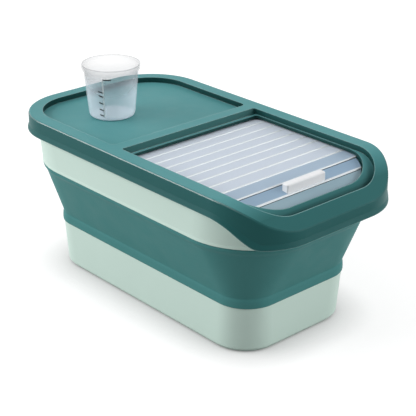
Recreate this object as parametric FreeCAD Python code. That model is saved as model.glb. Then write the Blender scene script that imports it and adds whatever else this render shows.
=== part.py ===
"""Pet food keeper with a folding wall, a lid with a tray and a sliding slatted shutter, and a measuring cup.

Every separate piece is written to its own STEP file in the folder parts.
Lengths are millimetres. The origin is on the floor under the middle of the tub,
+X points to the rounded nose of the lid and +Z points up.
"""
import os

import FreeCAD
import Part
from math import cos, hypot, radians, sin, sqrt

V = FreeCAD.Vector
os.makedirs("parts", exist_ok=True)

# Heights, read upwards from the floor
TUB_TOP = 58.6            # where the soft wall's collar starts
TONGUE_TOP = 67.9         # top of the tub's rim inside the collar
COLLAR_END = 68.6         # upper edge of the soft wall's collar
NOTCH_Z = 70.2            # fold line just above the collar, where the taper starts
SHOULDER_Z = 136.4        # where the soft wall starts to swell under the ring
RING_BOTTOM = 144.5
LID_TOP = 203.9

# Tub
TUB_FOOT = (-179.8, 179.8, 89.9, 45.0, 45.0)
TUB_RIM = (-183.0, 183.0, 91.25, 42.0, 42.0)
TUB_WALL = 2.5
TUB_FLOOR = 3.0
GROOVE = (12.0, 20.0, 1.0)  # ring groove under the tub: from and to this far in, and its depth
TUB_FOOT_TURN = ((3.4, 0.0), (0.0, 4.2))  # sloped foot: in from the side, height
TUB_CORE_TURN = ((3.0, 0.0), (0.0, 3.2))  # its inner side, height above the tub's floor

# Soft folding wall
COLLAR = (-184.2, 184.2, 92.15, 42.3, 42.3)
COLLAR_WALL = 2.0
SOFT_WALL = 1.8
NOTCH_IN = 1.6
SHOULDER_OUT = 1.4
LIP_TOP = 152.4           # the soft wall's hidden lip inside the ring
GAP = 0.3                 # clearance between pieces that move apart
CHORDS = 8                # chords round each corner of the soft wall

# Upper ring
RING_FOOT = (-215.4, 218.0, 120.95, 93.7, 89.0)
RING_HEAD = (-217.0, 219.6, 121.9, 89.0, 84.5)
RING_HEAD_Z = 181.4
RING_REACH_Z = 195.4      # the ring is drawn this high, then trimmed under the lid
RING_WALL = 2.5
BEAD_OUT = 0.9            # the ring's lower edge is thickened by this much
BEAD_H = 3.4

# Lid: plan outlines are (rear x, front x, half width, rear corner, front corner)
LID_PLAN = (-224.3, 233.9, 124.75, 75.5, 72.5)
LID_PLATE = 2.4
SKIRT_WALL = 2.0
LID_EDGE_R = 2.6
FLARE_OUT = 1.75          # the skirt's lower lip stands out this far
FLARE_H = 8.5             # the lip's slope ends inside the skirt at this height
FLARE_ROOT = 0.9          # and this deep
FLARE_FLAT = 1.6          # plain height of the lip
TRAY = (-206.5, -27.0, 106.0, 56.0, 6.0)
WELL = (-11.5, 218.3, 105.5, 4.0, 52.0)
WELL_REAR_RUN = 4.3       # the shutter well's rear wall leans by this much
MOUTH = (-3.5, 204.4, 103.5, 4.0, 56.0)
RECESS = 7.0
DECK = 2.5
WELL_WALL = 2.2
MOUTH_LIP = 1.4           # the rim round the mouth reaches this far below the deck
NOSE_LIP = 3.6            # and this far round the shutter's nose
NOSE_LIP_X = 168.0
RIB_IN = 6.0              # inner face of the rib that holds the seal

# Lid's long profile: flat, then an arc, then a straight slope
TURN_X = 164.0
TURN_R = 80.0
TURN_DEG = 38.0
# Skirt's lower edge: flat, then down through two arcs, then flat again round the nose
HEM_Z = 182.4
HEM_X = 160.0
HEM_R = 52.0
HEM_DEG = 40.0
HEM_LOW_R = 17.0
HEM_LOW_Z = 154.0
FLANGE_LO = 1.4           # ring flange, measured up from the skirt's lower edge
FLANGE_HI = 3.9
SEAL_HI = 6.4
FLANGE_GAP = 0.4

# Shutter
SLAT_EDGES = (-7.7, 10.3, 28.3, 46.3, 64.3, 82.3, 100.3, 120.3, 141.8, 165.8)
NOSE_SPLIT = 187.3
NOSE_TIP = 203.8
SLAT_BOTTOM = 189.8
SLAT_SKIN = 2.0
BEAD_R = 1.3
BEAD_GAP = 0.35
SLAT_HALF = 107.0
NOSE_HALF = 102.8
NOSE_CORNER = 57.0
REAR_CORNER = 20.0
PULL_TILT = 9.6
NOSE_TILT = 16.1          # measured from the pull slat

# Guides and pocket under the deck
RAIL_X = (-11.0, 150.0)
RAIL_WEB = (108.5, 111.0)
RAIL_FLANGE_IN = 104.5
RAIL_BOTTOM = 187.4
RAIL_FLANGE_TOP = 189.4
POCKET = (-200.0, -12.0, 112.0, 50.0, 4.0)
POCKET_Z = (187.0, 188.8)
POCKET_SIDE = (108.5, 110.5)
POCKET_SIDE_X = -178.0

# Finger pull
PULL_X = (175.6, 184.0)
PULL_HALF = 30.0
PULL_TOP = 198.6
PULL_WALL = 1.8
PULL_ROUND = 1.2
PULL_FOOT = 1.2

# Measuring cup
CUP_AT = (-127.0, -29.0)
CUP_STAND = 197.0
CUP_OUTSIDE = ((25.4, 0.0), (28.8, 4.2), (34.0, 57.0), (36.6, 60.2), (36.6, 67.2))
CUP_INSIDE = ((35.1, 67.2), (32.5, 57.6), (25.0, 1.5))

FAR = 320.0               # longer than the whole object


def grown(plan, by):
    """The same plan outline moved out by a distance, or in if it is negative."""
    x0, x1, half, rear, front = plan
    return (x0 - by, x1 + by, half + by, rear + by, front + by)


def between(a, b, t):
    """A plan outline part of the way from one to another."""
    return tuple(p + (q - p) * t for p, q in zip(a, b))


def outline(plan, z):
    """A closed wire: a rectangle with its own rear and front corner radii."""
    x0, x1, half, rear, front = plan
    k = sqrt(0.5)
    corners = (
        (x1 - front, half - front, front, (0, 1), (1, 0)),
        (x1 - front, front - half, front, (1, 0), (0, -1)),
        (x0 + rear, rear - half, rear, (0, -1), (-1, 0)),
        (x0 + rear, half - rear, rear, (-1, 0), (0, 1)),
    )
    edges = []
    ends = []
    for cx, cy, r, a, b in corners:
        p = V(cx + r * a[0], cy + r * a[1], z)
        m = V(cx + r * k * (a[0] + b[0]), cy + r * k * (a[1] + b[1]), z)
        q = V(cx + r * b[0], cy + r * b[1], z)
        ends.append((p, q))
        edges.append(Part.Arc(p, m, q).toShape())
    wire = []
    for i in range(4):
        wire.append(edges[i])
        wire.append(Part.LineSegment(ends[i][1], ends[(i + 1) % 4][0]).toShape())
    return Part.Wire(wire)


def chords(plan, z):
    """Points of the same outline with each corner drawn as short straight chords."""
    x0, x1, half, rear, front = plan
    points = []
    for i in range(4):
        r = front if i in (0, 3) else rear
        cx = x1 - front if i in (0, 3) else x0 + rear
        cy = half - r if i < 2 else r - half
        for j in range(CHORDS + 1):
            a = radians(90 * (i + j / CHORDS))
            points.append(V(cx + r * cos(a), cy + r * sin(a), z))
    return points


def strips(levels):
    """A solid of flat strips between outlines at several levels."""
    rings = [chords(plan, z) for plan, z in levels]
    faces = [Part.Face(Part.makePolygon(ring + ring[:1])) for ring in (rings[0], rings[-1])]
    for low, high in zip(rings, rings[1:]):
        for k in range(len(low)):
            n = (k + 1) % len(low)
            faces.append(Part.Face(Part.makePolygon([low[k], low[n], high[n], high[k], low[k]])))
    return Part.Solid(Part.Shell(faces))


def prism(plan, z0, z1):
    """A plan outline pulled straight up."""
    return Part.Face(outline(plan, z0)).extrude(V(0, 0, z1 - z0))


def tower(levels):
    """A solid whose outline changes in straight lines from level to level."""
    wires = [outline(plan, z) for plan, z in levels]
    return Part.makeLoft(wires, True, True)


def box(x0, x1, y0, y1, z0, z1):
    return Part.makeBox(x1 - x0, y1 - y0, z1 - z0, V(x0, y0, z0))


def line(a, b):
    return Part.LineSegment(a, b).toShape()


def turn(x, z, radius, start, end):
    """An arc in the long plane; angles are degrees from straight up, towards +X."""
    at = []
    for degrees in (start, (start + end) / 2, end):
        at.append(V(x + radius * sin(radians(degrees)), 0, z + radius * cos(radians(degrees))))
    return Part.Arc(*at).toShape()


def first_point(edge):
    return edge.valueAt(edge.FirstParameter)


def last_point(edge):
    return edge.valueAt(edge.LastParameter)


def lid_path(depth):
    """The lid's top profile moved down into the lid by a depth."""
    arc = turn(TURN_X, LID_TOP - TURN_R, TURN_R - depth, 0, TURN_DEG)
    start = first_point(arc)
    end = last_point(arc)
    slope = V(cos(radians(TURN_DEG)), 0, -sin(radians(TURN_DEG)))
    return [line(V(-FAR, 0, start.z), start), arc, line(end, end + slope * FAR / 2)]


def hem_path(rise):
    """The skirt's lower edge profile moved up by a rise."""
    full = radians(HEM_DEG)
    low_z = HEM_LOW_Z + HEM_LOW_R
    fall = (HEM_Z - HEM_R) + (HEM_R + HEM_LOW_R) * cos(full) - low_z
    low_x = HEM_X + (HEM_R + HEM_LOW_R) * sin(full) + fall * cos(full) / sin(full)
    high = turn(HEM_X, HEM_Z - HEM_R, HEM_R + rise, 0, HEM_DEG)
    low = turn(low_x, low_z, HEM_LOW_R - rise, 180 + HEM_DEG, 180)
    start = first_point(high)
    end = last_point(low)
    return [
        line(V(-FAR, 0, start.z), start),
        high,
        line(last_point(high), first_point(low)),
        low,
        line(end, V(FAR, 0, end.z)),
    ]


def below(edges):
    """Everything under a long profile that runs from the rear to the front."""
    a = first_point(edges[0])
    d = last_point(edges[-1])
    closing = [
        line(d, V(d.x, 0, -FAR)),
        line(V(d.x, 0, -FAR), V(a.x, 0, -FAR)),
        line(V(a.x, 0, -FAR), a),
    ]
    face = Part.Face(Part.Wire(edges + closing))
    face.translate(V(0, -FAR / 2, 0))
    return face.extrude(V(0, FAR, 0))


def layer(upper, lower):
    """The layer between two long profiles."""
    return below(upper).cut(below(lower))


def one_solid(shape):
    """The largest solid of a result, with its split faces joined."""
    solids = sorted(shape.Solids, key=lambda s: s.Volume)
    return solids[-1].removeSplitter()


def mid(edge):
    return edge.valueAt((edge.FirstParameter + edge.LastParameter) / 2)


def on_plan(p, plan):
    """True for a point on the upright wall over a plan outline."""
    x0, x1, half, rear, front = plan
    if p.x > x1 - front and abs(p.y) > half - front:
        gap = hypot(p.x - x1 + front, abs(p.y) - half + front) - front
    elif p.x < x0 + rear and abs(p.y) > half - rear:
        gap = hypot(p.x - x0 - rear, abs(p.y) - half + rear) - rear
    else:
        gap = max(x0 - p.x, p.x - x1, abs(p.y) - half)
    return abs(gap) < 0.05


def upper_rim(block, plan):
    """The edges round the top of an upright block."""
    rim = []
    for edge in block.Edges:
        a = first_point(edge)
        b = last_point(edge)
        upright = hypot(a.x - b.x, a.y - b.y) < 0.01
        at_foot = mid(edge).z < block.BoundBox.ZMin + 1
        if on_plan(mid(edge), plan) and not upright and not at_foot:
            rim.append(edge)
    return rim


def save(name, shape):
    """Write one node and print its size."""
    box_ = shape.optimalBoundingBox()
    good = shape.isValid()
    print(f"{name:18s} solids {len(shape.Solids)} valid {good} "
          f"x {box_.XMin:.1f}..{box_.XMax:.1f} y {box_.YMin:.1f}..{box_.YMax:.1f} "
          f"z {box_.ZMin:.1f}..{box_.ZMax:.1f} cm3 {shape.Volume / 1000:.1f}")
    shape.exportStep(f"parts/{name}.step")


def tub_plan(z):
    """The tub's outside at a height, from its foot to its rim."""
    return between(TUB_FOOT, TUB_RIM, z / TUB_TOP)


# Base tub: drafted shell with a ring groove underneath and a thinner rim tongue inside the collar
def make_tub():
    body = tower([(grown(tub_plan(z), -by), z) for by, z in TUB_FOOT_TURN] + [(TUB_RIM, TUB_TOP)])
    tongue_out = grown(COLLAR, -COLLAR_WALL)
    inner_rim = grown(TUB_RIM, -TUB_WALL)
    body = body.fuse(prism(tongue_out, TUB_TOP - TUB_WALL, TONGUE_TOP))
    core = []
    for by, rise in TUB_CORE_TURN:
        z = TUB_FLOOR + rise
        core.append((grown(tub_plan(z), -TUB_WALL - by), z))
    hollow = tower(core + [(inner_rim, TUB_TOP)]).fuse(prism(inner_rim, TUB_TOP, TONGUE_TOP + 1))
    start, end, deep = GROOVE
    groove = prism(grown(TUB_FOOT, -start), -1, deep).cut(prism(grown(TUB_FOOT, -end), -2, deep + 1))
    return one_solid(body.cut(hollow).cut(groove))


def soft_plan(z):
    """The straight taper between the fold line and the ring."""
    return between(grown(COLLAR, -NOTCH_IN), RING_FOOT, (z - NOTCH_Z) / (RING_BOTTOM - NOTCH_Z))


# Folding wall: collar over the tub's rim, fold line, taper, swelling and a hidden upper lip.
# Its corners flare, so they are drawn as chords: every strip between two levels is then flat.
def make_folding_wall():
    swell = (SHOULDER_Z + RING_BOTTOM) / 2 + 1
    top = RING_BOTTOM - GAP
    notch = grown(COLLAR, -NOTCH_IN)
    outside = strips([
        (COLLAR, TUB_TOP),
        (grown(COLLAR, -0.3), COLLAR_END),
        (notch, NOTCH_Z),
        (soft_plan(SHOULDER_Z), SHOULDER_Z),
        (grown(soft_plan(swell), SHOULDER_OUT), swell),
        (grown(soft_plan(top), -0.2), top),
    ])
    lip_out = grown(RING_FOOT, -RING_WALL - GAP)
    lip = strips([(lip_out, top - SOFT_WALL), (lip_out, LIP_TOP)])
    inside = strips([
        (grown(notch, -SOFT_WALL), TONGUE_TOP - 0.1),
        (grown(notch, -SOFT_WALL), NOTCH_Z),
        (grown(soft_plan(SHOULDER_Z), -SOFT_WALL), SHOULDER_Z),
        (grown(lip_out, -SOFT_WALL), top - SOFT_WALL),
        (grown(lip_out, -SOFT_WALL), LIP_TOP + 1),
    ])
    socket = prism(grown(COLLAR, -COLLAR_WALL), TUB_TOP - 1, TONGUE_TOP)
    return one_solid(outside.fuse(lip).cut(inside).cut(socket))


# Upper ring: drafted band with a bottom bead and a sloped outward flange for the seal
def make_ring():
    t = (RING_REACH_Z - RING_BOTTOM) / (RING_HEAD_Z - RING_BOTTOM)
    reach = between(RING_FOOT, RING_HEAD, t)
    band = tower([(RING_FOOT, RING_BOTTOM), (reach, RING_REACH_Z)])
    band = band.common(below(hem_path(FLANGE_HI)))
    bead_foot = grown(RING_FOOT, BEAD_OUT)
    bead_head = between(RING_FOOT, RING_HEAD, BEAD_H / (RING_HEAD_Z - RING_BOTTOM))
    bead = tower([(bead_foot, RING_BOTTOM), (bead_head, RING_BOTTOM + BEAD_H)])
    flange = prism(grown(LID_PLAN, -SKIRT_WALL - FLANGE_GAP), RING_BOTTOM, LID_TOP)
    flange = flange.common(layer(hem_path(FLANGE_HI), hem_path(FLANGE_LO)))
    hole = tower([
        (grown(RING_FOOT, -RING_WALL), RING_BOTTOM),
        (grown(reach, -RING_WALL), RING_REACH_Z),
    ])
    return one_solid(band.fuse([bead, flange]).cut(hole))


# Lid frame: one moulding with a tray, a shutter well with its mouth, and a flared skirt
def make_lid():
    high = LID_TOP + 5
    block = prism(LID_PLAN, HEM_Z - 60, high).common(below(lid_path(0)))
    block = block.makeFillet(LID_EDGE_R, upper_rim(block, LID_PLAN))
    recess = layer(lid_path(-10), lid_path(RECESS))
    tray = prism(TRAY, HEM_Z, high + 10).common(recess)
    well = prism(WELL, HEM_Z - 30, high + 10).common(recess)
    lean = Part.Face(Part.makePolygon([
        V(WELL[0] - 0.5, 0, LID_TOP - RECESS - 0.5),
        V(WELL[0] + WELL_REAR_RUN, 0, LID_TOP - RECESS - 0.5),
        V(WELL[0] + WELL_REAR_RUN, 0, LID_TOP - RECESS),
        V(WELL[0], 0, LID_TOP),
        V(WELL[0] - 0.5, 0, LID_TOP),
        V(WELL[0] - 0.5, 0, LID_TOP - RECESS - 0.5),
    ]))
    lean.translate(V(0, -FAR / 2, 0))
    well = well.cut(lean.extrude(V(0, FAR, 0)))
    block = block.cut(tray).cut(well)
    cavity = prism(grown(LID_PLAN, -SKIRT_WALL), HEM_Z - 70, high).common(below(lid_path(LID_PLATE)))
    walls = prism(grown(TRAY, WELL_WALL), HEM_Z, high).fuse(prism(grown(WELL, WELL_WALL), HEM_Z - 30, high))
    walls = walls.common(layer(lid_path(0), lid_path(RECESS + DECK)))
    lid = block.cut(cavity.cut(walls))
    mouth = prism(MOUTH, HEM_Z - 60, high)
    lip = prism(grown(MOUTH, WELL_WALL), HEM_Z - 60, high)
    nose_lip = lip.common(box(NOSE_LIP_X, FAR, -FAR, FAR, 0, FAR))
    lip = lip.common(layer(lid_path(RECESS + 0.5), lid_path(RECESS + DECK + MOUTH_LIP)))
    nose_lip = nose_lip.common(layer(lid_path(RECESS + 0.5), lid_path(RECESS + DECK + NOSE_LIP)))
    rib = prism(grown(LID_PLAN, -SKIRT_WALL + 0.5), HEM_Z - 60, high)
    rib = rib.cut(prism(grown(LID_PLAN, -RIB_IN), HEM_Z - 61, high + 1))
    rib = rib.common(layer(lid_path(LID_PLATE - 0.5), hem_path(SEAL_HI)))
    lip_plan = grown(LID_PLAN, FLARE_OUT)
    flare = prism(lip_plan, HEM_Z - 60, high).common(below(hem_path(FLARE_H)))
    rim = upper_rim(flare, lip_plan)
    flare = flare.makeChamfer(FLARE_H - FLARE_FLAT, FLARE_OUT + FLARE_ROOT, rim)
    flare = flare.cut(prism(grown(LID_PLAN, -SKIRT_WALL), HEM_Z - 61, high + 1))
    lid = lid.fuse([lip, nose_lip, rib, flare]).cut(mouth).cut(below(hem_path(0)))
    return one_solid(lid)


def make_seal():
    ring = prism(grown(LID_PLAN, -SKIRT_WALL - 0.3), HEM_Z - 60, LID_TOP)
    ring = ring.cut(prism(grown(LID_PLAN, -RIB_IN - 1.5), HEM_Z - 61, LID_TOP + 1))
    return one_solid(ring.common(layer(hem_path(SEAL_HI), hem_path(FLANGE_HI + GAP))))


def make_rail(side):
    """An L rail under one long edge of the mouth."""
    x0, x1 = RAIL_X
    deck_under = LID_TOP - RECESS - DECK
    rail = box(x0, x1, RAIL_WEB[0], RAIL_WEB[1], RAIL_BOTTOM, deck_under)
    rail = rail.fuse(box(x0, x1, RAIL_FLANGE_IN, RAIL_WEB[0] + 1, RAIL_BOTTOM, RAIL_FLANGE_TOP))
    rail = one_solid(rail)
    if side < 0:
        rail = rail.mirror(V(0, 0, 0), V(0, 1, 0))
    return rail


# Pocket plate: closes the space under the tray where the slats slide in
def make_pocket():
    plate = prism(POCKET, POCKET_Z[0], POCKET_Z[1])
    deck_under = LID_TOP - RECESS - DECK
    sides = []
    for y0, y1 in (POCKET_SIDE, (-POCKET_SIDE[1], -POCKET_SIDE[0])):
        sides.append(box(POCKET_SIDE_X, POCKET[1], y0, y1, POCKET_Z[0], deck_under))
    return one_solid(plate.fuse(sides))


def slat_profile(a, b, socket):
    """One slat seen from its end: a round front bead and a hollow rear edge."""
    z0 = SLAT_BOTTOM
    z1 = SLAT_BOTTOM + SLAT_SKIN
    zc = SLAT_BOTTOM + BEAD_R
    r = BEAD_R + BEAD_GAP
    front = b - BEAD_R
    rear = a - BEAD_R
    top_dx = sqrt(BEAD_R ** 2 - (z1 - zc) ** 2)
    edges = []
    if socket:
        low = V(rear + sqrt(r ** 2 - (z0 - zc) ** 2), 0, z0)
        high = V(rear + sqrt(r ** 2 - (z1 - zc) ** 2), 0, z1)
        edges.append(Part.Arc(high, V(rear + r, 0, zc), low).toShape())
    else:
        low = V(a, 0, z0)
        high = V(a, 0, z1)
        edges.append(Part.LineSegment(high, low).toShape())
    foot = V(front, 0, z0)
    neck = V(front - top_dx, 0, z1)
    edges.append(Part.LineSegment(low, foot).toShape())
    edges.append(Part.Arc(foot, V(front + BEAD_R, 0, zc), V(front, 0, zc + BEAD_R)).toShape())
    k = (BEAD_R + top_dx) / 2
    on_bead = V(front - k / 2, 0, zc + sqrt(BEAD_R ** 2 - (k / 2) ** 2))
    edges.append(Part.Arc(V(front, 0, zc + BEAD_R), on_bead, neck).toShape())
    edges.append(Part.LineSegment(neck, high).toShape())
    return Part.Wire(edges)


def make_slat(a, b, half, socket):
    face = Part.Face(slat_profile(a, b, socket))
    face.translate(V(0, -half, 0))
    return face.extrude(V(0, 2 * half, 0))


def tilt(shape, s, degrees):
    """Turn a flat-drawn piece nose down about the bead that ends at s."""
    shape.rotate(V(s - BEAD_R, 0, SLAT_BOTTOM + BEAD_R), V(0, 1, 0), degrees)
    return shape


# Finger pull: a rounded tab, open at the back, that stands upright on the sloping slat
def make_pull():
    rear, front = PULL_X
    skin = SLAT_BOTTOM + SLAT_SKIN
    tab = box(rear, front, -PULL_HALF, PULL_HALF, SLAT_BOTTOM - 10, PULL_TOP)
    outer = []
    for edge in tab.Edges:
        p = mid(edge)
        at_front = p.x > front - 0.1
        at_top = p.z > PULL_TOP - 0.1
        at_end = abs(p.y) > PULL_HALF - 0.1
        if at_front + at_top + at_end == 2:
            outer.append(edge)
    tab = tab.makeChamfer(PULL_ROUND, outer)
    inner = PULL_HALF - PULL_WALL
    hollow = box(rear - 1, front - PULL_WALL, -inner, inner, SLAT_BOTTOM - 11, PULL_TOP - PULL_WALL)
    foot = box(rear - 5, front + 5, -PULL_HALF, PULL_HALF, skin, skin + PULL_FOOT)
    foot = tilt(foot, SLAT_EDGES[-1], PULL_TILT).common(tab)
    under = box(rear - 20, front + 20, -PULL_HALF - 1, PULL_HALF + 1, skin - 30, skin)
    under = tilt(under, SLAT_EDGES[-1], PULL_TILT)
    return one_solid(tab.cut(hollow).fuse(foot).cut(under))


# Measuring cup: one thin revolved wall with a rounded foot and a flared rim
def make_cup():
    points = [V(0, 0, 0)]
    for r, z in CUP_OUTSIDE + CUP_INSIDE:
        points.append(V(r, 0, z))
    points.append(V(0, 0, CUP_INSIDE[-1][1]))
    points.append(points[0])
    cup = Part.Face(Part.makePolygon(points)).revolve(V(0, 0, 0), V(0, 0, 1), 360)
    cup.translate(V(CUP_AT[0], CUP_AT[1], CUP_STAND))
    return cup


save("base_tub", make_tub())
save("folding_wall", make_folding_wall())
save("upper_ring", make_ring())
save("lid_frame", make_lid())
save("lid_gasket", make_seal())
save("guide_rail_near", make_rail(-1))
save("guide_rail_far", make_rail(1))
save("pocket_plate", make_pocket())
for number in range(1, len(SLAT_EDGES)):
    slat = make_slat(SLAT_EDGES[number - 1], SLAT_EDGES[number], SLAT_HALF, number > 1)
    if number == 1:
        trim = (SLAT_EDGES[0], FAR, SLAT_HALF, REAR_CORNER, REAR_CORNER)
        slat = one_solid(slat.common(prism(trim, RAIL_BOTTOM, LID_TOP)))
    save(f"slat_{number}", slat)

nose_plan = (0, NOSE_TIP, NOSE_HALF, NOSE_CORNER, NOSE_CORNER)
nose_cut = prism(nose_plan, RAIL_BOTTOM, LID_TOP)
pull_slat = make_slat(SLAT_EDGES[-1], NOSE_SPLIT, NOSE_HALF, True).common(nose_cut)
nose_bar = make_slat(NOSE_SPLIT, NOSE_TIP, NOSE_HALF, True).common(nose_cut)
nose_bar = tilt(one_solid(nose_bar), NOSE_SPLIT, NOSE_TILT)
save("pull_slat", tilt(one_solid(pull_slat), SLAT_EDGES[-1], PULL_TILT))
save("nose_bar", tilt(nose_bar, SLAT_EDGES[-1], PULL_TILT))
save("finger_pull", make_pull())
save("measuring_cup", make_cup())
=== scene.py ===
# %% [markdown]
# This lesson dresses a fold-down pet food keeper. The real one is a rigid tub on the floor, a soft wall
# that folds, a rigid ring, and a lid with a tray, a slatted shutter and a loose measuring cup.
#
# The rigid mouldings come as finished solids from the CAD frame, so they only get their materials here,
# and nothing moves or reshapes them. What is soft or clear is built here as a mesh, because it has to
# bend or to be seen through. The floor, the lamps and the camera come last.

# %% Load the frame
from math import cos, pi, radians, sin

import bpy
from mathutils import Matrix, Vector


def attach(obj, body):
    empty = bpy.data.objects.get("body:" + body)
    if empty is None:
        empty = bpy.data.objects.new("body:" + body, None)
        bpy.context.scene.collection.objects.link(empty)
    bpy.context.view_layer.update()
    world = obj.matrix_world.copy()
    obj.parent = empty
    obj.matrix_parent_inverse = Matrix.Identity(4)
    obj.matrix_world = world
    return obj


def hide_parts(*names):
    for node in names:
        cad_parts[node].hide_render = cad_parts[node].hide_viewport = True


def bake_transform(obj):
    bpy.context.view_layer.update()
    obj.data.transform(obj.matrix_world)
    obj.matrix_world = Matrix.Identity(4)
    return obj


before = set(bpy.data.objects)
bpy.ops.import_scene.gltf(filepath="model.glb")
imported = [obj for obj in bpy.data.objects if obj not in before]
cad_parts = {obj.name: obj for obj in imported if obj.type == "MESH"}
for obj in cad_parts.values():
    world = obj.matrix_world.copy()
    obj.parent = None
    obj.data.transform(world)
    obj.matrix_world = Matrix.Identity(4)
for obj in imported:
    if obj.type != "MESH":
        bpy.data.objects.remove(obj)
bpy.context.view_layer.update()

MM = 0.001
print("nodes:", sorted(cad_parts))

# %% [markdown]
# A material is a tree of small nodes. An input takes either a plain value or a link from another node's
# output, so one helper, feed, does both, and every later helper can be given numbers, colours or
# outputs. Colours are easiest to pick as they look on a screen, from 0 to 255. A shader reckons with
# linear light, so they are converted once, by the standard formula, and not guessed.


# %% Sockets and colours
def sock(node, name):
    """The input of a node by name."""
    return node.inputs[name]


def feed(tree, socket, value):
    """Links the socket to value if that is an output, and otherwise sets value on it."""
    if isinstance(value, bpy.types.NodeSocket):
        tree.links.new(value, socket)
    else:
        socket.default_value = value


def linear(rgb):
    """Screen colour from 0 to 255 as the linear colour a shader takes."""
    out = []
    for c in rgb:
        c = c / 255
        out.append(c / 12.92 if c <= 0.04045 else ((c + 0.055) / 1.055) ** 2.4)
    return (*out, 1.0)


print("screen 128 is linear", round(linear((128, 128, 128))[0], 3))

# %% [markdown]
# Four more helpers cover nearly everything that the finishes need: a sum or product, a change of range,
# a mix of two colours, and one axis of a position or direction. They could be written out each time,
# but a material then takes a page. As functions, a mask reads as one line.


# %% Sums, ranges, mixes and axes
MIX_FACTOR, MIX_A, MIX_B, MIX_RESULT = 0, 6, 7, 2  # places of the colour sockets on a Mix node


def reckon(tree, operation, *terms):
    """A Math node with numbers or outputs as its terms."""
    m = tree.nodes.new("ShaderNodeMath")
    m.operation = operation
    for socket, term in zip(m.inputs, terms):
        feed(tree, socket, term)
    return m.outputs[0]


def ranged(tree, value, low, high, out_low=0.0, out_high=1.0):
    """Maps low to out_low and high to out_high, and stays there beyond them."""
    m = tree.nodes.new("ShaderNodeMapRange")
    limits = {"From Min": low, "From Max": high, "To Min": out_low, "To Max": out_high}
    for name, limit in limits.items():
        sock(m, name).default_value = limit
    feed(tree, sock(m, "Value"), value)
    return m.outputs["Result"]


def mixed(tree, fac, a, b):
    """A colour between a and b, which are linear colours or colour outputs."""
    m = tree.nodes.new("ShaderNodeMix")
    m.data_type = "RGBA"
    feed(tree, m.inputs[MIX_FACTOR], fac)
    feed(tree, m.inputs[MIX_A], a)
    feed(tree, m.inputs[MIX_B], b)
    return m.outputs[MIX_RESULT]


def axis_of(tree, axis, kind="Object"):
    """One axis of the texture coordinates of a kind: Object, Normal or Generated."""
    split = tree.nodes.new("ShaderNodeSeparateXYZ")
    feed(tree, sock(split, "Vector"), tree.nodes.new("ShaderNodeTexCoord").outputs[kind])
    return split.outputs[axis]


print("a Mix node takes its colours at", MIX_A, "and", MIX_B)

# %% [markdown]
# Plastic is never one flat colour. A moulding has a very fine grain, its colour drifts a little from
# place to place, and handling leaves soft patches of different gloss. An image could show that, but it
# needs unwrapping and blurs close up. Noise in object coordinates has neither trouble, and the grain
# stays in place when the piece moves.
#
# Real edges are always a little round. The Bevel node bends the normal there, so that each edge catches
# a thin line of light without a change to the mesh.


# %% A helper for moulded plastic
NOISE_SPAN = (0.3, 0.7)     # nearly all values of the noise lie between these
DRIFT = 9.0                 # waves of colour per metre
PATCH = 5.0                 # patches of gloss are this many times finer
GRAIN = 900.0               # grains per metre
GRAIN_DETAIL = 2.0
NOISE_ROUGH = 0.55          # how strong the finer layers of the noise are
RELIEF = 0.2 * MM           # height of the grain
ROUND_SAMPLES = 6


def noise(tree, scale, detail=3.0):
    """Noise of so many waves per metre, in object coordinates."""
    n = tree.nodes.new("ShaderNodeTexNoise")
    sock(n, "Scale").default_value = scale
    sock(n, "Detail").default_value = detail
    sock(n, "Roughness").default_value = NOISE_ROUGH
    feed(tree, sock(n, "Vector"), tree.nodes.new("ShaderNodeTexCoord").outputs["Object"])
    return n.outputs["Fac"]


def drifting(tree, scale, tones):
    """A colour that drifts between two screen colours."""
    return mixed(tree, noise(tree, scale), linear(tones[0]), linear(tones[1]))


def plastic(name, tones, rough, grain=GRAIN, bump=0.06, edge=0.0, gloss=0.5):
    """Moulded plastic between two screen colours, with an edge rounded by so many millimetres.

    Returns the material, its tree and its shader.
    """
    mat = bpy.data.materials.new(name)
    mat.use_nodes = True
    tree = mat.node_tree
    shader = tree.nodes["Principled BSDF"]
    feed(tree, sock(shader, "Base Color"), drifting(tree, DRIFT, tones))
    feed(tree, sock(shader, "Roughness"), ranged(tree, noise(tree, DRIFT * PATCH), *NOISE_SPAN, *rough))
    relief = tree.nodes.new("ShaderNodeBump")
    sock(relief, "Strength").default_value = bump
    sock(relief, "Distance").default_value = RELIEF
    feed(tree, sock(relief, "Height"), noise(tree, grain, GRAIN_DETAIL))
    if edge:
        soft = tree.nodes.new("ShaderNodeBevel")
        soft.samples = ROUND_SAMPLES
        sock(soft, "Radius").default_value = edge * MM
        feed(tree, sock(relief, "Normal"), soft.outputs["Normal"])
    feed(tree, sock(shader, "Normal"), relief.outputs["Normal"])
    sock(shader, "Specular IOR Level").default_value = gloss
    return mat, tree, shader


def dress(names, mat):
    """Gives CAD nodes a material."""
    for n in names:
        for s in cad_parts[n].material_slots:
            s.material = mat
    print(mat.name, "on", len(names), "pieces")


# %% [markdown]
# The tub and the ring are pale mint mouldings with a satin face, and the hidden seal under the lid is
# soft pale rubber. Both follow straight from the helper: two close tones, a range of roughness and, for
# the hard plastic, a slight round on its edges.

# %% Tub, ring and seal
MINT = ((212, 235, 225), (217, 240, 230))
SEAL_GREY = ((214, 220, 217), (224, 229, 226))
mint, _, _ = plastic("mint_moulding", MINT, rough=(0.42, 0.5), edge=0.8, gloss=0.25)
pale, _, _ = plastic("pale_seal_rubber", SEAL_GREY, rough=(0.6, 0.7))
dress(("base_tub", "upper_ring"), mint)
dress(("lid_gasket",), pale)

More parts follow.
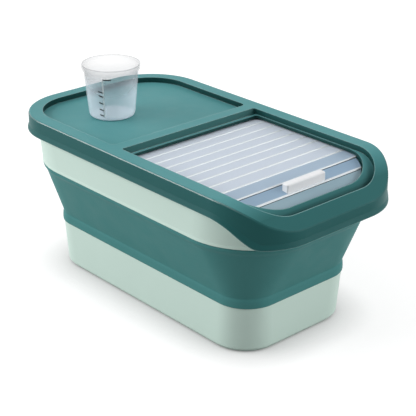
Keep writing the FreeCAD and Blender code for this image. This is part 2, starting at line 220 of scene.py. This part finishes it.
# %% [markdown]
# The lid needs more, because one moulding carries painted light and shade: level faces painted paler than
# the walls, as if lit from above, painted shade in the recesses and a painted highlight along the edges.
# Four separate materials would need the mesh cut into regions. Masks made from the surface itself do
# without: they are numbers from 0 to 1 that follow the shape.
#
# The first two masks look at the direction of the surface. The others compare a rounded normal with the
# true one, which differ only at an edge, and ask the Ambient Occlusion node how open a place is.


# %% Masks that follow a surface
LEVEL = (0.76, 0.995)       # upward part of the normal, from a slope to a level face
LEAN_OUT = (0.35, 0.5)      # sideways part of the normal on the lid's turned edge
LEAN_UP = (0.48, 0.56)      # and its upward part
BENT = (0.985, 0.85)        # cosine between the true normal and the rounded one, from a face to an edge
OPEN = (0.62, 0.97)         # share of directions that are free, from a recess to the open
MASK_SAMPLES = 8


def level_mask(tree):
    """1 on faces that look straight up, 0 on slopes and upright walls."""
    return ranged(tree, axis_of(tree, "Z", "Normal"), *LEVEL)


def turned_edge(tree):
    """1 on the rounded upper edge of the long sides, where the surface leans out."""
    sideways = ranged(tree, reckon(tree, "ABSOLUTE", axis_of(tree, "Y", "Normal")), *LEAN_OUT)
    upwards = ranged(tree, axis_of(tree, "Z", "Normal"), *LEAN_UP)
    return reckon(tree, "MULTIPLY", sideways, upwards)


def edge_mask(tree, radius):
    """1 along sharp edges, 0 on faces: there a rounded normal leaves the true one."""
    soft = tree.nodes.new("ShaderNodeBevel")
    soft.samples = MASK_SAMPLES
    sock(soft, "Radius").default_value = radius * MM
    dot = tree.nodes.new("ShaderNodeVectorMath")
    dot.operation = "DOT_PRODUCT"
    feed(tree, dot.inputs[0], soft.outputs["Normal"])
    feed(tree, dot.inputs[1], tree.nodes.new("ShaderNodeNewGeometry").outputs["Normal"])
    return ranged(tree, dot.outputs["Value"], *BENT)


def open_mask(tree, reach):
    """1 in the open, towards 0 deep in a corner or at the foot of a wall."""
    n = tree.nodes.new("ShaderNodeAmbientOcclusion")
    n.samples = MASK_SAMPLES
    sock(n, "Distance").default_value = reach * MM
    return ranged(tree, n.outputs["AO"], *OPEN)


print("masks: level, turned edge, sharp edge, open")

# %% [markdown]
# The lid's colour is built from the inside out: painted shade in the recesses, the side tone in the open, a
# paler tone of painted light on level faces, and at last a painted highlight along open edges. A clear coat
# on the edges alone gives them the thin shine of a polished mould line. The coat's weight is a mask,
# because its strength may vary over the surface, while its index and roughness are plain numbers on the
# shader.

# %% Lid
LID_PIECES = ("lid_frame", "guide_rail_near", "guide_rail_far", "pocket_plate")
# The level tone is painted light, the deep tone painted shade and the edge tone a painted highlight; the
# side tone is the moulding's own colour.
PAINTED_LIGHT_TEAL = ((83, 147, 150), (89, 153, 155))
SIDE_TEAL = ((38, 94, 94), (42, 99, 98))
PAINTED_SHADE_TEAL = ((20, 60, 59), (24, 65, 64))
PAINTED_HIGHLIGHT_TEAL = ((128, 190, 190), (140, 198, 198))
DEEP_DRIFT = 8.0            # waves of colour per metre
LEVEL_DRIFT = 7.0
EDGE_DRIFT = 40.0
EDGE_ROUND = 1.7            # mm, width of the painted highlight along edges
RECESS_REACH = 22.0         # mm, how far a recess looks for its walls, for its painted shade
EDGE_FADE = 3.0             # the painted highlight on edges in a recess fades by this power of its openness
# How strongly the painted highlight shows on the edges.
EDGE_STRENGTH = 0.65
EDGE_INDEX = 1.7            # of the clear coat on the edges
COAT_ROUGH = 0.2


def polish(tree, shader, mask, index):
    """A clear coat where the mask is 1."""
    feed(tree, sock(shader, "Coat Weight"), mask)
    sock(shader, "Coat IOR").default_value = index
    sock(shader, "Coat Roughness").default_value = COAT_ROUGH


def lid_colour(tree, side, edges):
    """The lid's colour from the tone of its sides and the mask of its edges, with painted shade in the
    recesses, painted light on level faces and a painted highlight along open edges.
    """
    openness = open_mask(tree, RECESS_REACH)
    # Painted shade: recesses take the deep tone by how closed they are.
    colour = mixed(tree, openness, drifting(tree, DEEP_DRIFT, PAINTED_SHADE_TEAL), side)
    # Painted light: level faces take a paler tone, as if lit from above.
    colour = mixed(tree, level_mask(tree), colour, drifting(tree, LEVEL_DRIFT, PAINTED_LIGHT_TEAL))
    # Painted highlight: open edges take a light tone.
    light = reckon(tree, "MULTIPLY", reckon(tree, "POWER", openness, EDGE_FADE), edges)
    light = reckon(tree, "MULTIPLY", light, EDGE_STRENGTH)
    return mixed(tree, light, colour, drifting(tree, EDGE_DRIFT, PAINTED_HIGHLIGHT_TEAL))


teal, tree, shader = plastic("teal_moulding", SIDE_TEAL, rough=(0.4, 0.48), edge=1.2, gloss=0.1)
side_tone = sock(shader, "Base Color").links[0].from_socket
edges = edge_mask(tree, EDGE_ROUND)
polish(tree, shader, reckon(tree, "MAXIMUM", edges, turned_edge(tree)), EDGE_INDEX)
feed(tree, sock(shader, "Base Color"), lid_colour(tree, side_tone, edges))
dress(LID_PIECES, teal)

# %% [markdown]
# The slats are frosted: light goes in and comes out blurred. A little transmission under a rough surface
# gives that. Clear glass with a rough face would also do, but it renders slowly and shows the dark
# inside of the tub. Towards the nose the plastic looks bluer, so the tint is a mix along the shutter.


# %% Frosted plastic
TINT_SPAN = (0.0, 0.2)      # metres along X over which the tint changes
CLOUDS = 14.0               # cloudy patches per metre
FROST_INDEX = 1.45
# The white tone is a painted highlight, put on beads and edges.
PAINTED_HIGHLIGHT_WHITE = ((240, 249, 255), (244, 251, 255))
SHADE = ((30, 44, 52), (36, 52, 60))


def along(tree, low, high, kind="Object"):
    """0 to 1 between two places along X."""
    return ranged(tree, axis_of(tree, "X", kind), low, high)


def tinted(tree, tones):
    """A colour that goes from the first tone to the second towards the nose."""
    return mixed(tree, along(tree, *TINT_SPAN), linear(tones[0]), linear(tones[1]))


def frosted(name, tones, through):
    """Frosted plastic. Returns the material, its tree, its shader and its colour."""
    mat, tree, shader = plastic(name, tones, rough=(0.46, 0.54), bump=0.04, edge=0.4, gloss=0.4)
    patch = sock(shader, "Base Color").links[0].from_socket
    sock(shader, "Transmission Weight").default_value = through
    sock(shader, "IOR").default_value = FROST_INDEX
    return mat, tree, shader, mixed(tree, noise(tree, CLOUDS), tinted(tree, tones), patch)


print("frosted plastic goes from tone to tone over", TINT_SPAN[1], "m")

# %% [markdown]
# The bead on the front edge of each slat is polished, and a painted highlight in white makes it read as a
# white line; its thin rear edge, which meets the bead of the slat behind, gets the same painted highlight.
# Every bead is equally wide and ends where its slat ends, so its mask is a step along X, measured back from
# the slat's own box. The rear edge is a share of the slat's length, which the Generated coordinates give:
# they run from 0 to 1 over each piece.

# %% Flat slats
SLATS = [f"slat_{number}" for number in range(1, 10)]
BEAD_WIDE = 3.1 * MM
BEAD_BLUR = 0.3 * MM
BEAD_INDEX = 1.6
REAR_EDGE = (0.065, 0.05)   # shares of a slat's length
PALE = ((216, 225, 237), (207, 219, 233))
BLUER = ((170, 192, 214), (174, 195, 213))


def front_end(name):
    """Where a CAD node ends towards the nose, in metres along X."""
    return max(corner[0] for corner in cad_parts[name].bound_box)


def bead_mask(tree, name):
    """1 on the bead along a slat's front edge."""
    start = front_end(name) - BEAD_WIDE
    return along(tree, start, start + BEAD_BLUR)


for name in SLATS:
    tones = BLUER if name == SLATS[-1] else PALE
    mat, tree, shader, colour = frosted("frosted_" + name, tones, through=0.1)
    lines = reckon(tree, "MAXIMUM", bead_mask(tree, name), along(tree, *REAR_EDGE, "Generated"))
    polish(tree, shader, lines, BEAD_INDEX)
    # Painted highlight: the bead and the rear edge are mixed to white.
    feed(tree, sock(shader, "Base Color"), mixed(tree, lines, colour, tinted(tree, PAINTED_HIGHLIGHT_WHITE)))
    dress((name,), mat)

# %% [markdown]
# The last two slats bend over the nose. Where they hinge, a dark gap shows along the rear edge. It is real
# depth, but so thin that a few samples miss it, so painted shade there helps it to read as a line.
# The nose bar has no bead: its front edge turns down into the lid, and the edge mask finds it for a painted
# highlight in white.


# %% Pull slat, nose bar and finger pull
PULL_GAP = 0.085            # shares of the piece's length
NOSE_GAP = 0.11
GAP_BLUR = 0.015
NOSE_FRONT = (0.3, 0.5)
NOSE_ROUND = 1.8            # mm, width of the painted highlight on its front edge
PULL_BLUE = ((146, 177, 207), (154, 182, 204))
NOSE_BLUE = ((156, 186, 202), (160, 188, 200))
TAB_WHITE = ((248, 250, 252), (251, 252, 254))


def gapped(tree, colour, gap):
    """Paints shade on the rear edge, up to a share of the piece's length."""
    return mixed(tree, along(tree, gap, gap + GAP_BLUR, "Generated"), tinted(tree, SHADE), colour)


mat, tree, shader, colour = frosted("frosted_pull_slat", PULL_BLUE, through=0.15)
bead = bead_mask(tree, "pull_slat")
polish(tree, shader, bead, BEAD_INDEX)
# Painted highlight in white on the bead, and painted shade along the rear edge.
colour = gapped(tree, mixed(tree, bead, colour, tinted(tree, PAINTED_HIGHLIGHT_WHITE)), PULL_GAP)
feed(tree, sock(shader, "Base Color"), colour)
dress(("pull_slat",), mat)

mat, tree, shader, colour = frosted("frosted_nose", NOSE_BLUE, through=0.15)
front_edge = reckon(tree, "MULTIPLY", edge_mask(tree, NOSE_ROUND), along(tree, *NOSE_FRONT, "Generated"))
# Painted highlight in white along the front edge, and painted shade along the rear edge.
colour = mixed(tree, front_edge, gapped(tree, colour, NOSE_GAP), tinted(tree, PAINTED_HIGHLIGHT_WHITE))
feed(tree, sock(shader, "Base Color"), colour)
dress(("nose_bar",), mat)

mat, tree, shader, colour = frosted("frosted_pull", TAB_WHITE, through=0.05)
feed(tree, sock(shader, "Base Color"), colour)
dress(("finger_pull",), mat)

# %% [markdown]
# Meshes are built from lists of points and faces, and every one needs the same few calls, so a helper
# makes the object. The soft wall is round a closed outline: a rectangle in plan with its own rear and
# front corner radii. Sampled in the same order at every height, its rings of points join straight up
# into clean quads. A box with bevels would be quicker, but its corners couldn't change with height.


# %% Meshes and plan outlines
CORNER = 20                 # steps round a corner
SIDE = 8                    # steps along a straight side


def make_object(name, verts, faces, smooth=True):
    """An object from points in metres and faces."""
    mesh = bpy.data.meshes.new(name)
    mesh.from_pydata(verts, [], faces)
    mesh.validate()
    for poly in mesh.polygons:
        poly.use_smooth = smooth
    obj = bpy.data.objects.new(name, mesh)
    bpy.context.scene.collection.objects.link(obj)
    print(name, "has", len(faces), "faces")
    return obj


def grown(plan, by):
    """The outline, moved out on all sides."""
    x0, x1, half, rear, front = plan
    return (x0 - by, x1 + by, half + by, rear + by, front + by)


def between(a, b, t):
    """The point or outline at a share t of the way from a to b."""
    return tuple(p + (q - p) * t for p, q in zip(a, b))


def ring_points(plan, z):
    """Points round an outline, in millimetres, with corners and straight sides divided evenly."""
    x0, x1, half, rear, front = plan
    centres = (
        (x1 - front, half - front, front, 0),
        (x0 + rear, half - rear, rear, 90),
        (x0 + rear, rear - half, rear, 180),
        (x1 - front, front - half, front, 270),
    )
    arcs = []
    for cx, cy, r, start in centres:
        angles = [radians(start + 90 * i / CORNER) for i in range(CORNER + 1)]
        arcs.append([(cx + r * cos(a), cy + r * sin(a), z) for a in angles])
    points = []
    for arc, following in zip(arcs, arcs[1:] + arcs[:1]):
        points.extend(arc)
        for k in range(1, SIDE):
            points.append(between(arc[-1], following[0], k / SIDE))
    return points


def skin(name, rings):
    """A closed skin of quads through rings of points."""
    count = len(rings[0])
    verts = [Vector(p) * MM for ring in rings for p in ring]
    faces = []
    for r in range(len(rings)):
        a = r * count
        b = (r + 1) % len(rings) * count
        for k in range(count):
            n = (k + 1) % count
            faces.append((a + k, a + n, b + n, b + k))
    return make_object(name, verts, faces)


# %% [markdown]
# The folding wall is one piece of soft rubber. Its collar grips the tub's rim, a fold line follows, then
# the wall leans out to the ring and swells a little below it. Rings are taken up the outside and back
# down the inside, close together where the shape turns. A cloth simulation isn't needed, because the
# real wall is stiff enough to keep its moulded shape when the keeper is open.

# %% Shape of the folding wall
# A plan is (rear X, front X, half width, rear corner radius, front corner radius), in millimetres.
COLLAR = (-184.2, 184.2, 92.15, 42.3, 42.3)
RING_FOOT = (-215.4, 218.0, 120.95, 93.7, 89.0)
NOTCH = grown(COLLAR, -1.6)
LIP = grown(RING_FOOT, -2.8)
NOTCH_Z = 70.2
RING_BOTTOM = 144.5
SOFT = 1.8                  # thickness of the wall
COARSE = 3.0                # distance between rings on the plain slope
FINE = 1.0                  # and where the wall swells
FINE_FROM = 132.4
SLOPE_Z = (75.4, 143.6)     # lowest ring of the slope outside, and where its rings end
INNER_Z = (141.4, 72.9)     # highest ring of the slope inside, and where its rings end
SWELL_Z = (133.4, 144.0)
SWELL_OUT = 1.5
SWELL_RISE = 1.4            # above 1 puts the widest place above the middle
SWELL_FADE = 1.5            # above 1 lets the swelling begin and end softly

# Each profile has pairs: how far the wall stands out from its plan, and the height.
COLLAR_PROFILE = (
    (-1.9, 58.9), (-0.5, 58.75), (-0.1, 59.0), (0.0, 59.6), (0.0, 61.9), (-0.1, 64.4), (-0.25, 66.4),
    (-0.5, 67.8), (-0.85, 68.8), (-1.2, 69.6), (-1.4, 70.3),
)
SLOPE_FOOT = ((-0.1, 71.4), (0.0, 73.0))
SLOPE_HEAD = ((-0.35, 144.0), (-1.2, 144.2))
LIP_PROFILE = ((0.0, 144.8), (0.0, 152.0), (-0.9, 152.4), (-1.8, 152.0), (-1.8, 144.8))
NOTCH_INSIDE = ((-SOFT, 70.8), (-SOFT, 68.2))
COLLAR_INSIDE = ((-2.1, 68.0), (-2.0, 61.4))


def soft_plan(z):
    """The outline of the plain slope at a height."""
    return between(NOTCH, RING_FOOT, (z - NOTCH_Z) / (RING_BOTTOM - NOTCH_Z))


def swelling(z):
    """How far the wall stands out below the ring."""
    t = min(max((z - SWELL_Z[0]) / (SWELL_Z[1] - SWELL_Z[0]), 0), 1)
    return SWELL_OUT * sin(pi * t ** SWELL_RISE) ** SWELL_FADE


outside = [(grown(COLLAR, by), z) for by, z in COLLAR_PROFILE]
outside += [(grown(soft_plan(z), by), z) for by, z in SLOPE_FOOT]
z = SLOPE_Z[0]
while z < SLOPE_Z[1]:
    outside.append((grown(soft_plan(z), swelling(z)), z))
    z += COARSE if z < FINE_FROM else FINE
outside += [(grown(soft_plan(z), by), z) for by, z in SLOPE_HEAD]

inside = [(grown(LIP, by), z) for by, z in LIP_PROFILE]
z = INNER_Z[0]
while z > INNER_Z[1]:
    inside.append((grown(soft_plan(z), -SOFT), z))
    z -= COARSE
inside += [(grown(NOTCH, by), z) for by, z in NOTCH_INSIDE]
inside += [(grown(COLLAR, by), z) for by, z in COLLAR_INSIDE]
print("the wall has", len(outside), "rings outside and", len(inside), "inside")

# %% [markdown]
# The keeper is pushed flat by pressing the ring down. The wall's foot stays with the tub and its head goes
# with the ring. Rubber has next to no gloss and a finer, deeper grain than the hard plastic.

# %% Folding wall
RUBBER_TEAL = ((72, 134, 133), (78, 140, 139))
wall = skin("soft_wall", [ring_points(plan, z) for plan, z in outside + inside])
rubber, _, _ = plastic("teal_rubber", RUBBER_TEAL, rough=(0.5, 0.6), grain=1400.0, bump=0.1, gloss=0.1)
wall.data.materials.append(rubber)
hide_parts("folding_wall")
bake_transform(wall)

# %% [markdown]
# The measuring cup is a thin, clear, round wall with a rolled rim and a rounded foot. It is turned like
# a bowl on a lathe: a profile in radius and height is swept right round, outside first and then back
# down the inside. A cylinder with a Solidify modifier would give neither the rim nor the thick foot.

# %% Shape of the measuring cup
CUP_AT = (-127.0, -29.0)    # mm, its axis in plan
CUP_Z = 197.0               # its foot on the tray
CUP_STEPS = 144             # steps round
OUT_PROFILE = (             # radius and height in mm, from the middle of the foot up to the rim
    (0.0, 0.6), (21.0, 0.6), (22.6, 0.1), (24.2, 0.0), (26.0, 0.5), (27.6, 1.6), (28.6, 3.4), (29.1, 6.2),
    (30.2, 17.5), (31.9, 35.0), (33.2, 48.5), (34.0, 56.6), (34.5, 58.2), (35.6, 59.8), (36.3, 61.2),
    (36.6, 63.0), (36.6, 66.2), (36.3, 66.95), (35.8, 67.2),
)
IN_PROFILE = (              # and back down the inside
    (35.3, 66.9), (35.1, 66.2), (35.1, 63.2), (34.7, 61.6), (33.4, 59.4), (32.7, 57.4), (31.8, 48.5),
    (30.4, 35.0), (28.8, 17.5), (27.6, 6.6), (26.9, 4.2), (25.6, 2.7), (24.0, 2.1), (0.0, 2.1),
)


def on_cup(r, angle, height):
    """A point at a radius, angle and height on the cup, in metres."""
    return Vector((CUP_AT[0] + r * cos(angle), CUP_AT[1] + r * sin(angle), CUP_Z + height)) * MM


def turned(name, profile):
    """A surface turned about the cup's axis from (radius, height) pairs. It starts and ends on the axis."""
    verts = []
    starts = []
    for r, height in profile:
        starts.append(len(verts))
        for k in range(CUP_STEPS if r else 1):
            verts.append(on_cup(r, 2 * pi * k / CUP_STEPS, height))
    faces = []
    for a, b in zip(starts, starts[1:]):
        for k in range(CUP_STEPS):
            n = (k + 1) % CUP_STEPS
            if a == starts[0]:
                faces.append((a, b + n, b + k))
            elif b == starts[-1]:
                faces.append((a + k, a + n, b))
            else:
                faces.append((a + k, a + n, b + n, b + k))
    return make_object(name, verts, faces)


cup = turned("clear_cup", OUT_PROFILE + IN_PROFILE)
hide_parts("measuring_cup")
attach(cup, "cup")

# %% [markdown]
# Thin clear plastic hardly bends the light. It shows what is behind it under a faint white veil, which
# gets strong where a wall is seen edge on or is thick, as at the rim and the foot. Real refraction
# through two close walls is slow and noisy. So the shader is mostly see-through, and its cover, which
# goes into Alpha, grows with height masks and, by Layer Weight, at a slant.


# %% Clear plastic for the cup
RIM = (65.6, 66.4)          # heights over the cup's foot, in mm
FOOT = (2.4, 1.0)
LOWER = (58.0, 30.0)        # the lower part stands before the dark lid and gets a whiter tone of painted light
RIM_COVER = 0.1
FOOT_COVER = 0.45
LOWER_COVER = 0.19
SLANT_COVER = 0.3
BASE_COVER = 0.08
MOST_COVER = 0.9
SLANT_BLEND = 0.35
CUP_INDEX = 1.2
CUP_THROUGH = 0.1
# The veil's two tones are painted light and shade: grey above, and whiter low down, where the cup stands
# before the dark lid.
PAINTED_SHADE_CUP_TONES = ((150, 153, 156), (156, 159, 162))
LOWER_DRIFT = 20.0
PAINTED_LIGHT_CUP_TONES = ((232, 243, 252), (238, 247, 254))


def height_mask(tree, low, high):
    """0 to 1 between two heights in millimetres above the cup's foot."""
    return ranged(tree, axis_of(tree, "Z"), (CUP_Z + low) * MM, (CUP_Z + high) * MM)


clear, tree, shader = plastic("clear_cup_plastic", PAINTED_SHADE_CUP_TONES, rough=(0.3, 0.36), bump=0.02)
sock(shader, "Transmission Weight").default_value = CUP_THROUGH
sock(shader, "IOR").default_value = CUP_INDEX
# Painted light and shade: the veil's colour goes from the grey tone above to the whiter one low down.
painted_shade_tone = sock(shader, "Base Color").links[0].from_socket
lowness = height_mask(tree, *LOWER)
painted_light_tone = drifting(tree, LOWER_DRIFT, PAINTED_LIGHT_CUP_TONES)
feed(tree, sock(shader, "Base Color"), mixed(tree, lowness, painted_shade_tone, painted_light_tone))
slant = tree.nodes.new("ShaderNodeLayerWeight")
sock(slant, "Blend").default_value = SLANT_BLEND
cover = BASE_COVER
for mask, share in (
    (height_mask(tree, *RIM), RIM_COVER), (height_mask(tree, *FOOT), FOOT_COVER),
    (lowness, LOWER_COVER), (slant.outputs["Facing"], SLANT_COVER),
):
    cover = reckon(tree, "ADD", reckon(tree, "MULTIPLY", mask, share), cover)
feed(tree, sock(shader, "Alpha"), reckon(tree, "MINIMUM", cover, MOST_COVER))
cup.data.materials.append(clear)
print("the cup is", 2 * max(r for r, _ in OUT_PROFILE), "mm wide")

# %% [markdown]
# A plain scale is printed on the cup: one upright white line, a top bar and short dark marks. It could
# be drawn by the shader, but print has an edge and a little body, so each mark is a thin strip that
# follows the curved wall a hair outside it.


# %% Scale on the cup
LIFT = 0.12                 # mm between the wall and the print
INK = 0.12                  # mm of thickness
STRIP_STEPS = 8
LINE_AT = -56.0             # degrees round the cup
LINE_WIDE = 1.3
LINE_Z = (6.5, 54.8)
TICK_ASIDE = -6.2           # degrees from the line
TICK_WIDE = 5.8
TICK_HIGH = 1.7
TICK_SLANT = -1.6
TICK_Z = (7.1, 14.5, 23.4, 32.7, 38.1)
BAR_ASIDE = 9.0
BAR_WIDE = 10.5
BAR_Z = (54.8, 56.3)
WHITE_INK = ((232, 238, 240), (240, 244, 245))
BLACK_INK = ((12, 16, 18), (18, 22, 24))


def cup_radius(h):
    """Outer radius of the cup at a height above its foot."""
    for (r0, h0), (r1, h1) in zip(OUT_PROFILE, OUT_PROFILE[1:]):
        if h0 <= h <= h1 and h1 > h0:
            return r0 + (r1 - r0) * (h - h0) / (h1 - h0)
    return OUT_PROFILE[-1][0]


def strip(middle, width, low, high, slant, start):
    """Points and faces of one mark. Its points are numbered from start."""
    verts = []
    for i in range(STRIP_STEPS + 1):
        t = i / STRIP_STEPS - 0.5
        for h in (low + slant * t, high + slant * t):
            r = cup_radius(h) + LIFT
            angle = radians(middle) + t * width / r
            verts += [on_cup(r, angle, h), on_cup(r + INK, angle, h)]
    faces = []
    for i in range(STRIP_STEPS):
        a = start + 4 * i
        b = a + 4
        faces += [(a + 1, b + 1, b + 3, a + 3), (a, a + 2, b + 2, b)]
        faces += [(a + 2, a + 3, b + 3, b + 2), (a, b, b + 1, a + 1)]
    a = start
    b = start + 4 * STRIP_STEPS
    return verts, faces + [(a, a + 1, a + 3, a + 2), (b, b + 2, b + 3, b + 1)]


def printed(name, marks, ink_name, tones):
    """Strips on the cup's wall. A mark is (middle angle, width, low height, high height, slant)."""
    verts = []
    faces = []
    for mark in marks:
        more_verts, more_faces = strip(*mark, len(verts))
        verts += more_verts
        faces += more_faces
    obj = make_object(name, verts, faces, smooth=False)
    ink, _, _ = plastic(ink_name, tones, rough=(0.4, 0.5))
    obj.data.materials.append(ink)
    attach(obj, "cup")


ticks = [(LINE_AT + TICK_ASIDE, TICK_WIDE, h, h + TICK_HIGH, TICK_SLANT) for h in TICK_Z]
ticks.append((LINE_AT + BAR_ASIDE, BAR_WIDE, *BAR_Z, 0.0))
line = (LINE_AT, LINE_WIDE, *LINE_Z, 0.0)
printed("cup_scale_line", [line], "white_ink", WHITE_INK)
printed("cup_scale_marks", ticks, "black_ink", BLACK_INK)

# %% [markdown]
# The keeper stands in a plain white studio. A floor bright enough to look white would also light the
# object from below and bleach its sides. So the floor is a plain grey to the light that bounces between
# things, and a glow of its own lifts it to white for the camera and for reflections only, which the
# Light Path node switches. The glow is held back close under the object, where the shadow belongs, and
# grows with distance, where the lamps reach less.


# %% Floor
FLOOR_REACH = 12.0
FLOOR_DROP = 0.0004         # just under the tub, so that the two faces don't flicker
GLOW_AT = (0.4, 2.0)        # metres from the middle
GLOW = (0.74, 1.0)
CONTACT = 0.05              # metres over which the contact shade fades
FLOOR_GREY = ((172, 172, 172), (175, 175, 175))


def seen_rays(tree):
    """1 for camera, glossy and transmission rays, 0 for the rest."""
    rays = tree.nodes.new("ShaderNodeLightPath")
    seen = reckon(tree, "MAXIMUM", rays.outputs["Is Camera Ray"], rays.outputs["Is Glossy Ray"])
    return reckon(tree, "MAXIMUM", seen, rays.outputs["Is Transmission Ray"])


corners = [(x * FLOOR_REACH, y * FLOOR_REACH, 0) for x, y in ((-1, -1), (1, -1), (1, 1), (-1, 1))]
floor = make_object("floor", corners, [(0, 1, 2, 3)], smooth=False)
floor.location.z = -FLOOR_DROP
floor_mat, tree, shader = plastic("studio_floor", FLOOR_GREY, rough=(0.8, 0.9), bump=0.0, gloss=0.0)
sock(shader, "Emission Color").default_value = (1.0, 1.0, 1.0, 1.0)
nearness = tree.nodes.new("ShaderNodeAmbientOcclusion")
sock(nearness, "Distance").default_value = CONTACT
afar = tree.nodes.new("ShaderNodeVectorMath")
afar.operation = "LENGTH"
feed(tree, afar.inputs[0], tree.nodes.new("ShaderNodeTexCoord").outputs["Object"])
far_glow = ranged(tree, afar.outputs["Value"], *GLOW_AT, *GLOW)
glow = reckon(tree, "MULTIPLY", seen_rays(tree), far_glow)
feed(tree, sock(shader, "Emission Strength"), reckon(tree, "MULTIPLY", glow, nearness.outputs["AO"]))
floor.data.materials.append(floor_mat)

# %% [markdown]
# One broad lamp hangs above, and one stands on each side of the camera, well outside its view. Each of
# those two lights one of the sides that the camera sees, so the corner between them stays the darkest.
# Broad lamps give soft shadows and no hard glints. The sky adds a little light from all round, and is
# white where the camera or a reflection sees it.


# %% Lamps and world
LAMP_AIM = (0, 0, 0.1)
SKY = 0.2


def area_light(name, at, size, power):
    """A rectangular lamp turned to the keeper. Its place and size are in metres, its power in watts."""
    data = bpy.data.lights.new(name, "AREA")
    data.shape = "RECTANGLE"
    data.size, data.size_y = size
    data.energy = power
    obj = bpy.data.objects.new(name, data)
    obj.location = at
    obj.rotation_euler = (Vector(LAMP_AIM) - Vector(at)).to_track_quat("-Z", "Y").to_euler()
    bpy.context.scene.collection.objects.link(obj)
    print("lamp", name, "has", power, "W")


area_light("overhead", (-0.2, 0.0, 2.2), (1.6, 1.6), 13)
area_light("left", (-1.6, -1.9, 1.3), (2.2, 1.5), 58)
area_light("right", (2.35, 1.75, 1.25), (3.0, 1.8), 58)

world = bpy.data.worlds.new("studio")
bpy.context.scene.world = world
world.use_nodes = True
tree = world.node_tree
sky = tree.nodes["Background"]
sock(sky, "Color").default_value = (1.0, 1.0, 1.0, 1.0)
feed(tree, sock(sky, "Strength"), reckon(tree, "MAXIMUM", seen_rays(tree), SKY))

# %% [markdown]
# The camera stands where the photograph was taken from: off the corner between the nose and the near
# long side, and above it, with a long lens. Its place and lens were fitted to the outlines of the tub,
# the ring and the lid. The view transform is Standard, so that colours come out as they were picked.

# %% Camera
EYE = Vector((1.0409, -0.9142, 0.7233))
LOOK_AT = Vector((-0.0181, 0.0346, 0.0849))
SENSOR = 36.0
LENS = 106.58
camera_data = bpy.data.cameras.new("camera")
camera_data.sensor_width = SENSOR
camera_data.lens = LENS
camera = bpy.data.objects.new("camera", camera_data)
camera.location = EYE
camera.rotation_euler = (LOOK_AT - EYE).to_track_quat("-Z", "Y").to_euler()
bpy.context.scene.collection.objects.link(camera)
bpy.context.scene.camera = camera
bpy.context.scene.view_settings.view_transform = "Standard"
print("camera at", tuple(round(c, 3) for c in EYE), "with a lens of", LENS, "mm")
